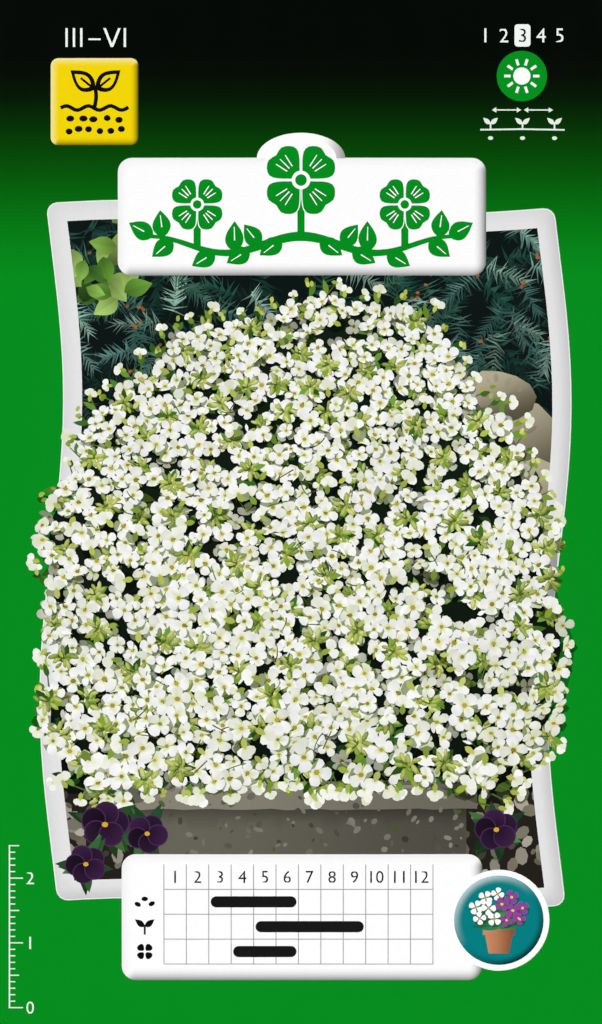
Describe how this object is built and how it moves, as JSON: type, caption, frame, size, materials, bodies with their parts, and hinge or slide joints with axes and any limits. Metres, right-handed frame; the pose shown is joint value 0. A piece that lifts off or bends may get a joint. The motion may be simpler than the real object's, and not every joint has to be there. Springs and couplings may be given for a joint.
{
  "type": "seed packet",
  "caption": "Folded and glued paper seed packet with a printed front, holding a heat-sealed foil sachet of flower seeds.",
  "frame": {"origin": "centre of the packet's footprint, on the surface that its back lies on", "axes": "+Y to the packet's top edge, +Z out of the printed front, +X to the right of the front"},
  "size_m": [0.094, 0.16, 0.0028],
  "materials": {
    "printed_paper": "satin",
    "glue": "satin",
    "foil": "satin",
    "seed": "matte"
  },
  "bodies": {
    "root": {"envelope": "printed_paper", "seam_glue": "glue", "top_flap_glue": "glue", "bottom_flap_glue": "glue", "sachet_lower_foil": "foil", "sachet_upper_foil": "foil", "seeds": "seed"}
  },
  "joints": []
}
